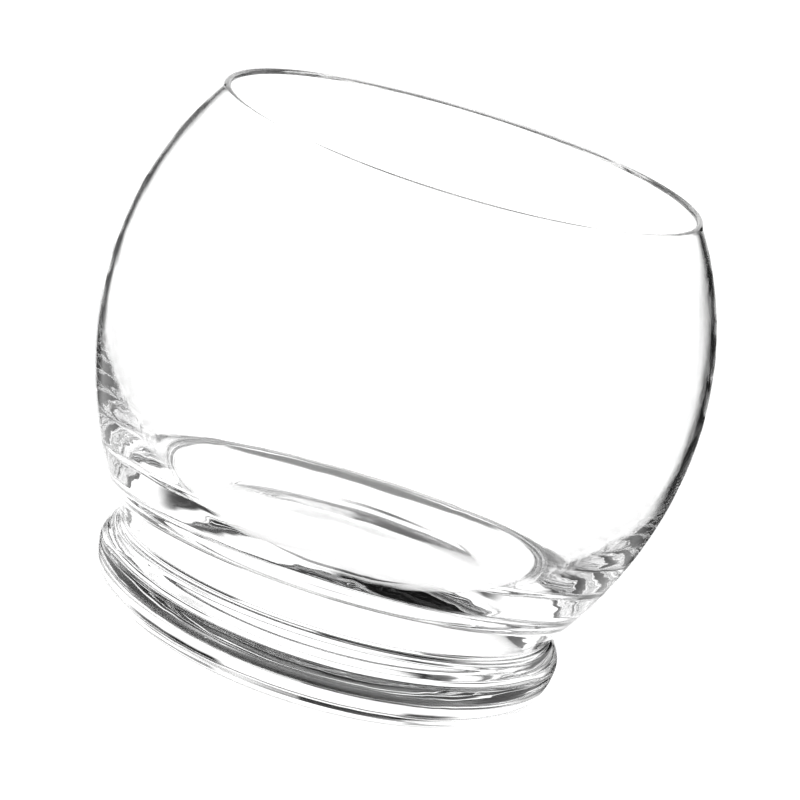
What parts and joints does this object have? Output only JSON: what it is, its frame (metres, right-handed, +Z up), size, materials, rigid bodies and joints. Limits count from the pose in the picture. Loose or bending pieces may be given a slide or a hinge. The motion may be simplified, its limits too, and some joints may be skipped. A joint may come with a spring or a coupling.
{
  "type": "whiskey tumbler",
  "caption": "Clear glass rocking whiskey tumbler: thin round bowl with a fire-polished rim, fused to a thick foot with a rounded rocking edge.",
  "frame": {"origin": "centre of the underside, on the plane the glass stands on", "axes": "+Z up along the axis of revolution; X and Y are equal, because the glass is round"},
  "size_m": [0.0984, 0.0984, 0.088],
  "materials": {
    "bowl_glass": "clear, fire-polished thin blown glass",
    "foot_glass": "clear, thick pressed glass with a polished surface"
  },
  "bodies": {
    "root": {"bowl": "bowl_glass", "foot": "foot_glass"}
  },
  "joints": []
}
